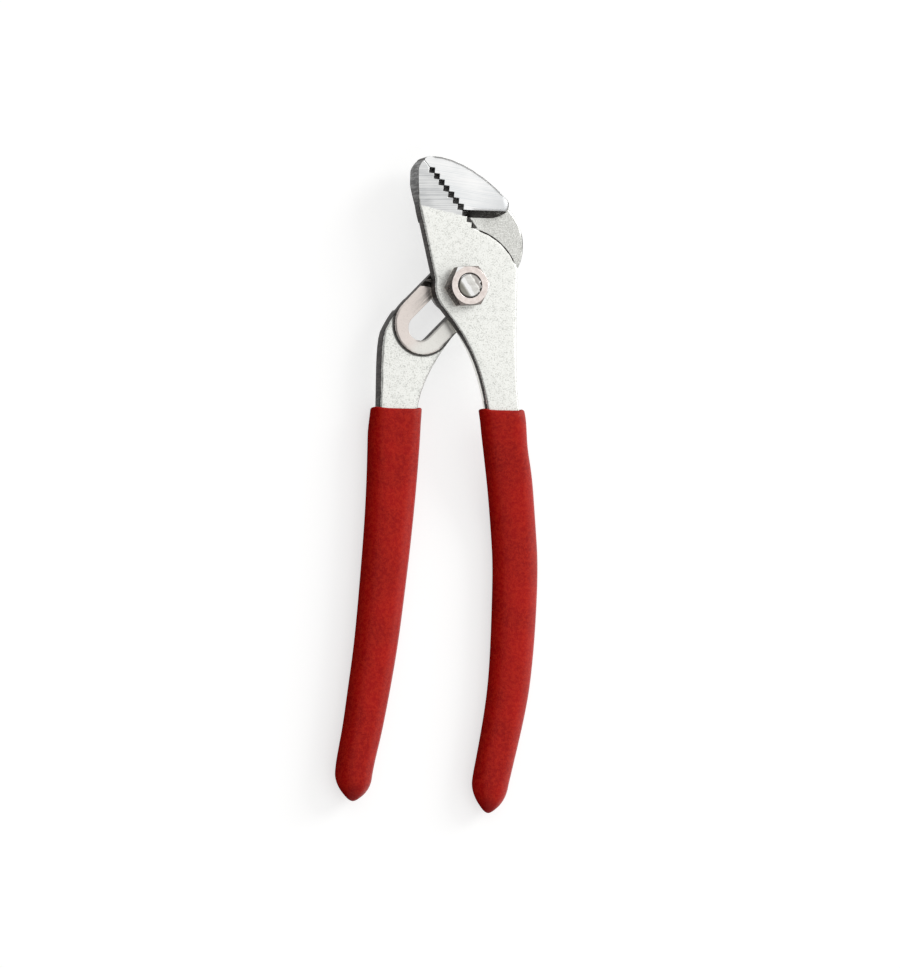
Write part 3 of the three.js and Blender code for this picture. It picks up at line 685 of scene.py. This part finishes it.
bolt_rings = []
for radius, height in bolt_profile():
    ring = []
    for step in range(BOLT_STEPS):
        angle = 2 * math.pi * step / BOLT_STEPS
        x, y = radius * math.cos(angle), radius * math.sin(angle)
        on_dome = height > BOLT_TOP - DOME - 0.01
        ring.append((x, y, struck(x, y, height) if on_dome else height))
    bolt_rings.append(ring)
bolt = skin_of("peened_bolt", bolt_rings)
shade(bolt, BOLT_SHARP_ANGLE)
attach(bolt, "pivot")
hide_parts("pivot_bolt")
print("bolt points:", len(bolt.data.vertices))

# %% [markdown]
# ## Nickel on the nut and the bolt
# Both have a thin nickel plate, a little warmer than the steel. The faces are smooth with faint turning
# marks round the bolt. The sides of the nut keep the dark skin of the bar, and the edges are rubbed
# bright by the spanner. Painted shade lies on slopes that face down, left, or up and to the right, and a
# painted highlight on slopes that face right, or up and to the left. On the struck end a painted
# highlight runs along the crest of the blow, with painted shade on both sides of it and round its rim.

# %% Nickel finish
NICKEL_LIGHT, NICKEL_DARK = colour(253, 243, 238), colour(226, 214, 209)
NICKEL_SIDE, NICKEL_SIDE_LIGHT = colour(48, 40, 38), colour(116, 104, 98)
BOLT_LIGHT, BOLT_DARK = colour(236, 235, 232), colour(206, 204, 200)
BOLT_SIDE, BOLT_SIDE_LIGHT = colour(70, 66, 64), colour(120, 116, 112)
# Painted shade for the two sides and the rim of the struck end, and the white of the painted highlights.
STRUCK_SHADE_NEAR, STRUCK_SHADE_FAR, STRUCK_SHADE_RIM = colour(118, 115, 102), colour(176, 172, 169), colour(72, 66, 62)
HIGHLIGHT_WHITE = (1.0, 1.0, 1.0, 1.0)
RUBBED_RADIUS = 0.1


def nickel(name, light, dark, side_dark, side_light, struck_end=False):
    material, tree, shader, place, normal = finish(name)
    ways = add(tree, "SeparateXYZ", {"Vector": normal}).outputs
    facing = sums(tree, "ABSOLUTE", ways["Z"], 0.0)
    at = add(tree, "SeparateXYZ", {"Vector": place}).outputs
    radius = diagonal(tree, at["X"], at["Y"])
    round_place = add(tree, "CombineXYZ", {"X": radius, "Y": at["Z"]}).outputs[0]
    rings = noise(tree, round_place, 9.0, 3.0, 0.6)
    cloud = noise(tree, place, 1.3, 3.0, 0.6)
    tone = weighted(tree, (rings, 0.4), (cloud, 0.6))
    plate = mixed(tree, ramp(tree, tone, 0.36, 0.62), dark, light)
    roughness = ramp(tree, tone, 0.3, 0.7, 0.34, 0.22)
    if struck_end:
        along, _ = distance_along(tree, at, (0, 0), STRIKES[0][0])
        along = sums(tree, "ADD", along, sums(tree, "MULTIPLY", cloud, 0.5))
        # Painted highlight along the crest of the blow, painted shade on both sides of it and round the
        # rim; the far side is made rougher so it holds no highlight.
        crest = both(tree, ramp(tree, along, 0.35, 0.6), fall(tree, along, 1.15, 1.35))
        plate = mixed(tree, crest, plate, HIGHLIGHT_WHITE)
        plate = mixed(tree, ramp(tree, along, 1.2, 1.7, 0.0, 0.75), plate, STRUCK_SHADE_NEAR)
        plate = mixed(tree, ramp(tree, along, -0.8, -1.2, 0.0, 0.7), plate, STRUCK_SHADE_FAR)
        roughness = blended(tree, ramp(tree, along, -0.6, -1.1), roughness, 0.8)
        plate = mixed(tree, ramp(tree, radius, 1.96, 2.16, 0.0, 0.85), plate, STRUCK_SHADE_RIM)
    streak = noise(tree, stretched(tree, place, (1.6, 1.6, 0.5)), 2.0, 3.0, 0.6)
    flat = mixed(tree, ramp(tree, streak, 0.42, 0.66), side_dark, side_light)
    # Painted shade by direction: slopes and sides that face down, left, or up and to the right are made
    # dark, on top of the dark skin of the sides.
    lean = weighted(tree, (ways["X"], 0.5), (ways["Y"], 0.87))
    upper = ramp(tree, lean, 0.38, 0.46)
    turned = sums(tree, "MAXIMUM", fall(tree, lean, -0.1, 0.05), upper)
    slope_shade = both(tree, fall(tree, facing, 0.78, 0.9), turned)
    side_mask = sums(tree, "MAXIMUM", slope_shade, fall(tree, facing, 0.4, 0.65))
    rounded = bevelled(tree, RUBBED_RADIUS)
    open_face = agreement(tree, rounded, add(tree, "NewGeometry").outputs["Normal"])
    worn = both(tree, fall(tree, open_face, 0.86, 0.985), ramp(tree, cloud, 0.35, 0.6, 0.1, 0.5),
                sums(tree, "SUBTRACT", 1.0, upper))
    skin = mixed(tree, side_mask, plate, flat)
    # Painted highlight on slopes that face right, or up and to the left.
    bright = both(tree, fall(tree, facing, 0.8, 0.96), ramp(tree, facing, 0.6, 0.7),
                  ramp(tree, lean, 0.08, 0.16), ramp(tree, lean, 0.38, 0.34))
    skin = mixed(tree, bright, skin, HIGHLIGHT_WHITE)
    put(tree, shader.inputs["Base Color"], mixed(tree, worn, skin, light))
    put(tree, shader.inputs["Roughness"], roughness)
    shader.inputs["Metallic"].default_value = 1.0
    relief(tree, shader, 0.3, 0.02, tone, Normal=rounded)
    return material


NUT_FINISH = nickel("nut_nickel", NICKEL_LIGHT, NICKEL_DARK, NICKEL_SIDE, NICKEL_SIDE_LIGHT)
BOLT_FINISH = nickel("bolt_nickel", BOLT_LIGHT, BOLT_DARK, BOLT_SIDE, BOLT_SIDE_LIGHT, struck_end=True)
dress(nut, NUT_FINISH)
dress(bolt, BOLT_FINISH)
print("nickel done")

# %% [markdown]
# ## The dipped grips
# A dipped grip is made by pushing the hot handle into liquid plastic and hanging it up to cure. The
# plastic follows the steel, runs to a soft drop at the tip, and stops in a rounded lip that climbs a
# little at the corners. So the skin is built along the middle line of the handle: rounded rectangles
# outside, the same line inside, and a lip that joins them.

# %% Handle lines
FRONT_LINE = [(6.6, -18), (13.1, -43), (14.5, -70.5), (6.1, -99.6)]
BACK_LINE = [(-11.65, -18), (-12.35, -45), (-16.1, -72), (-21.3, -97.6)]
RIM_LEVEL_LENGTH, CRANK_LENGTH = 14.0, 27.0
LINE_STEPS, NUDGE, RIM_TOLERANCE = 200, 1e-4, 1e-9


def smooth(value):
    share = min(1.0, max(0.0, value))
    return share * share * (3 - 2 * share)


class Handle:
    """The middle line of one handle, with its steel width and its level along the bolt."""

    def __init__(self, line, rim_y, widths, swell, thickness, levels):
        self.line, self.rim_y, self.widths, self.swell = line, rim_y, widths, swell
        self.thickness, self.levels = thickness, levels
        points = [self.point(step / LINE_STEPS) for step in range(LINE_STEPS + 1)]
        self.length = sum(math.dist(a, b) for a, b in zip(points, points[1:]))
        low, high = 0.0, 1.0
        while high - low > RIM_TOLERANCE:
            half = (low + high) / 2
            low, high = (half, high) if self.point(half)[1] > rim_y else (low, half)
        self.rim = low

    def point(self, t):
        weights = ((1 - t) ** 3, 3 * t * (1 - t) ** 2, 3 * t * t * (1 - t), t ** 3)
        return tuple(sum(w * p[i] for w, p in zip(weights, self.line)) for i in (0, 1))

    def tangent(self, t):
        ahead = self.point(min(1.0, t + NUDGE))
        behind = self.point(max(0.0, t - NUDGE))
        return Vector((ahead[0] - behind[0], ahead[1] - behind[1])).normalized()

    def width(self, t):
        first, last = self.widths
        return first + (last - first) * t + self.swell * 4 * t * (1 - t)

    def level(self, t):
        share = smooth((t - self.rim) * self.length / CRANK_LENGTH)
        first, last = self.levels
        return first + (last - first) * share

    def across(self, t):
        ahead = self.tangent(t)
        share = smooth((t - self.rim) * self.length / RIM_LEVEL_LENGTH)
        return Vector((1, 0)).lerp(Vector((-ahead.y, ahead.x)), share).normalized()


front_handle = Handle(FRONT_LINE, -23.15, (6.5, 4.7), 0.2, 3.0, (7.4, 2.75))
back_handle = Handle(BACK_LINE, -22.95, (7.75, 4.7), -0.4, 3.8, (3.15, 3.15))
print("handle lengths", round(front_handle.length, 1), round(back_handle.length, 1))

# %% Grip form
GRIP_SIDES, INNER_ROWS, LIP_STEPS, GRIP_ROWS, TIP_ROWS, GRIP_SHARP_ANGLE = 72, 40, 6, 90, 30, 60
COVER, TAPER, TAPER_FROM, TAPER_SHARE, SLIDE_SHARE = 1.25, 0.18, 0.7, 0.25, 0.2
TIP_LENGTH, TIP_ROUND, TIP_SLOPE, TIP_EASE = 7.0, 1.6, 0.8, 1.6
LIP_ROUND, LIP_CLIMB, LIP_SET_BACK, LIP_FADE, LIP_THIN = 0.5, 0.36, 0.28, 5.0, 0.12
INNER_SQUARE, LIP_SQUARE, RIM_SQUARE, BODY_SQUARE, TIP_SQUARE = 6.5, 3.7, 3.1, 2.45, 2.0
FIT, STEEL_STOP, INNER_START, TIP_REACH, CORNER_POWER = 0.04, 3.6, 0.6, 0.9992, 5
FRONT_LEAN, BACK_LEAN = (-0.4, 0.9), (0.2, 0.5)
FRONT_DRIFT = ((0.1, 0.07, -0.34), (0.35, 0.14, 0.5))
FRONT_SWELL = ((0.1, 0.06, -0.2), (0.5, 0.23, 0.21))
BACK_DRIFT = ((0.0, 0.22, -0.22), (0.63, 0.16, 0.23), (0.9, 0.07, -0.26))
BACK_SWELL = ((0.38, 0.4, 0.2),)


def sag(waves, share):
    """How far the plastic has run at a share of the grip, by waves of a place, a width and a height."""
    return sum(height * math.exp(-((share - place) / width) ** 2) for place, width, height in waves)


def grip_ring(handle, t, half_width, half_thickness, squareness, lift=0.0, aside=0.0):
    """A rounded rectangle square to the handle. A lift moves its corners towards the jaws."""
    x, y = handle.point(t)
    across, ahead, level = handle.across(t), handle.tangent(t), handle.level(t)
    ring = []
    for step in range(GRIP_SIDES):
        angle = 2 * math.pi * step / GRIP_SIDES
        wide = math.copysign(abs(math.cos(angle)) ** (2 / squareness), math.cos(angle))
        thick = math.copysign(abs(math.sin(angle)) ** (2 / squareness), math.sin(angle))
        climb = lift * abs(wide) ** CORNER_POWER
        ring.append((x + across.x * (wide * half_width + aside) - ahead.x * climb,
                     y + across.y * (wide * half_width + aside) - ahead.y * climb,
                     level + thick * half_thickness))
    return ring


def softer_min(first, second, ease):
    blend = min(1.0, max(0.0, 0.5 + 0.5 * (second - first) / ease))
    return second + (first - second) * blend - ease * blend * (1 - blend)


def tip_share(from_end, half_width):
    """The share of the full width at a distance from the end: a round nose that opens to a cone."""
    cone = TIP_SLOPE * math.sqrt(from_end ** 2 + 2 * TIP_ROUND * from_end)
    return max(0.0, softer_min(cone, half_width, TIP_EASE)) / half_width


def grip_rings(handle, slide, aside, drift, swell):
    """All rings of a grip: up the hollow from the end of the steel, over the lip and down to the tip."""
    rings = []
    per_mm = 1 / handle.length
    rim = handle.rim + LIP_SET_BACK * per_mm
    tip_from = 1 - TIP_LENGTH * per_mm
    steel_end = 1 - (STEEL_STOP - FIT) * per_mm
    thick = handle.thickness / 2

    def wide(t):
        return handle.width(t) / 2

    def settled(waves, t):
        fade = smooth((t - handle.rim) * handle.length / LIP_FADE)
        return fade * sag(waves, (t - handle.rim) / (1 - handle.rim))

    def lean(t):
        late = max(0.0, (t - tip_from) / (1 - tip_from))
        return slide * smooth((t - TAPER_FROM) / SLIDE_SHARE) + aside * late ** 2 + settled(drift, t)

    def cover(t):
        return COVER - TAPER * smooth((t - TAPER_FROM) / TAPER_SHARE) + settled(swell, t)

    inner_from = rim + INNER_START * per_mm
    for row in range(INNER_ROWS, -1, -1):
        t = inner_from + (steel_end - inner_from) * row / INNER_ROWS
        rings.append(grip_ring(handle, t, wide(t) + FIT, thick + FIT, INNER_SQUARE))
    full = COVER - LIP_THIN
    for step in range(LIP_STEPS + 1):
        share = step / LIP_STEPS
        t = rim + LIP_ROUND * (1 - math.sin(math.radians(90 * share))) * per_mm
        grow = FIT + (full - FIT - LIP_ROUND) * smooth(share)
        square = INNER_SQUARE + (LIP_SQUARE - INNER_SQUARE) * share
        rings.append(grip_ring(handle, t, wide(t) + grow, thick + grow, square, LIP_CLIMB * share))
    for step in range(1, LIP_STEPS + 1):
        share = step / LIP_STEPS
        t = rim + LIP_ROUND * (1 - math.cos(math.radians(90 * share))) * per_mm
        grow = full - LIP_ROUND + LIP_ROUND * math.sin(math.radians(90 * share))
        square = LIP_SQUARE + (RIM_SQUARE - LIP_SQUARE) * share
        rings.append(grip_ring(handle, t, wide(t) + grow, thick + grow, square, LIP_CLIMB))
    first = rim + LIP_ROUND * per_mm
    for row in range(1, GRIP_ROWS + 1):
        t = first + (tip_from - first) * row / GRIP_ROWS
        fade = smooth((t - first) * handle.length / LIP_FADE)
        grow = cover(t) - LIP_THIN * (1 - fade)
        square = RIM_SQUARE + (BODY_SQUARE - RIM_SQUARE) * smooth(3 * row / GRIP_ROWS)
        climb = LIP_CLIMB * (1 - fade)
        rings.append(grip_ring(handle, t, wide(t) + grow, thick + COVER, square, climb, lean(t)))
    for row in range(1, TIP_ROWS + 1):
        share = TIP_REACH * math.sin(math.radians(90 * row / TIP_ROWS))
        t = tip_from + (1 - tip_from) * share
        half = wide(t) + cover(t)
        size = tip_share((1 - t) * handle.length, half)
        square = BODY_SQUARE + (TIP_SQUARE - BODY_SQUARE) * share
        rings.append(grip_ring(handle, t, half * size, (thick + COVER) * size, square, 0.0, lean(t)))
    return rings


grips = {}
for name, handle, node, body, settle in (
    ("dipped_grip_front", front_handle, "front_grip", "front_lever",
     (*FRONT_LEAN, FRONT_DRIFT, FRONT_SWELL)),
    ("dipped_grip_back", back_handle, "back_grip", "back_lever",
     (*BACK_LEAN, BACK_DRIFT, BACK_SWELL)),
):
    grip = skin_of(name, grip_rings(handle, *settle))
    shade(grip, GRIP_SHARP_ANGLE)
    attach(grip, body)
    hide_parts(node)
    grips[name] = grip
    print(name, "points:", len(grip.data.vertices))

# %% [markdown]
# ## Soft red plastic
# Dipped plastic cures with an orange-peel skin: tiny dimples that break up every highlight. The colour
# is an even deep red with faint clouds, a shade darker where the plastic ran thick at the tip, and paler
# in small specks where the orange peel rises.

# %% Plastic finish
RED, RED_DARK, RED_PALE = colour(164, 14, 16), colour(128, 8, 13), colour(206, 54, 32)
SHEEN_TINT = (1.0, 0.78, 0.66, 1.0)


def dipped_plastic(name, tip):
    material, tree, shader, place, normal = finish(name)
    peel = noise(tree, place, 1.5, 3.0, 0.55)
    pores = noise(tree, place, 4.2, 2.0, 0.6)
    clouds = noise(tree, place, 0.14, 3.0, 0.5)
    tone = mixed(tree, ramp(tree, clouds, 0.36, 0.64), RED_DARK, RED)
    tone = mixed(tree, 0.55, tone, RED)
    speckle = ramp(tree, sums(tree, "ADD", peel, pores), 0.82, 1.2)
    tone = mixed(tree, sums(tree, "MULTIPLY", speckle, 0.35), tone, RED_PALE)
    away = add(tree, "VectorMath", {0: place, 1: tip}, operation="DISTANCE").outputs["Value"]
    tone = mixed(tree, ramp(tree, away, 0.8, 4.2, 0.75, 0.0), tone, RED_DARK)
    put(tree, shader.inputs["Base Color"], tone)
    put(tree, shader.inputs["Roughness"], ramp(tree, pores, 0.3, 0.7, 0.52, 0.34))
    # Painted sheen by direction: no reflection where the skin faces left, and more where it faces right.
    ways = add(tree, "SeparateXYZ", {"Vector": normal}).outputs
    sheen = sums(tree, "ADD", ramp(tree, ways["X"], -0.7, -0.3, 0.0, 0.13),
                 ramp(tree, ways["X"], 0.1, 0.5, 0.0, 0.27))
    put(tree, shader.inputs["Specular IOR Level"], sheen)
    shader.inputs["Specular Tint"].default_value = SHEEN_TINT
    relief(tree, shader, 0.85, 0.12, weighted(tree, (peel, 0.7), (pores, 0.3)))
    return material


for name, handle in (("dipped_grip_front", front_handle), ("dipped_grip_back", back_handle)):
    tip = (*handle.point(1.0), handle.level(1.0))
    dress(grips[name], dipped_plastic(name + "_red", tip))
print("grips finished")
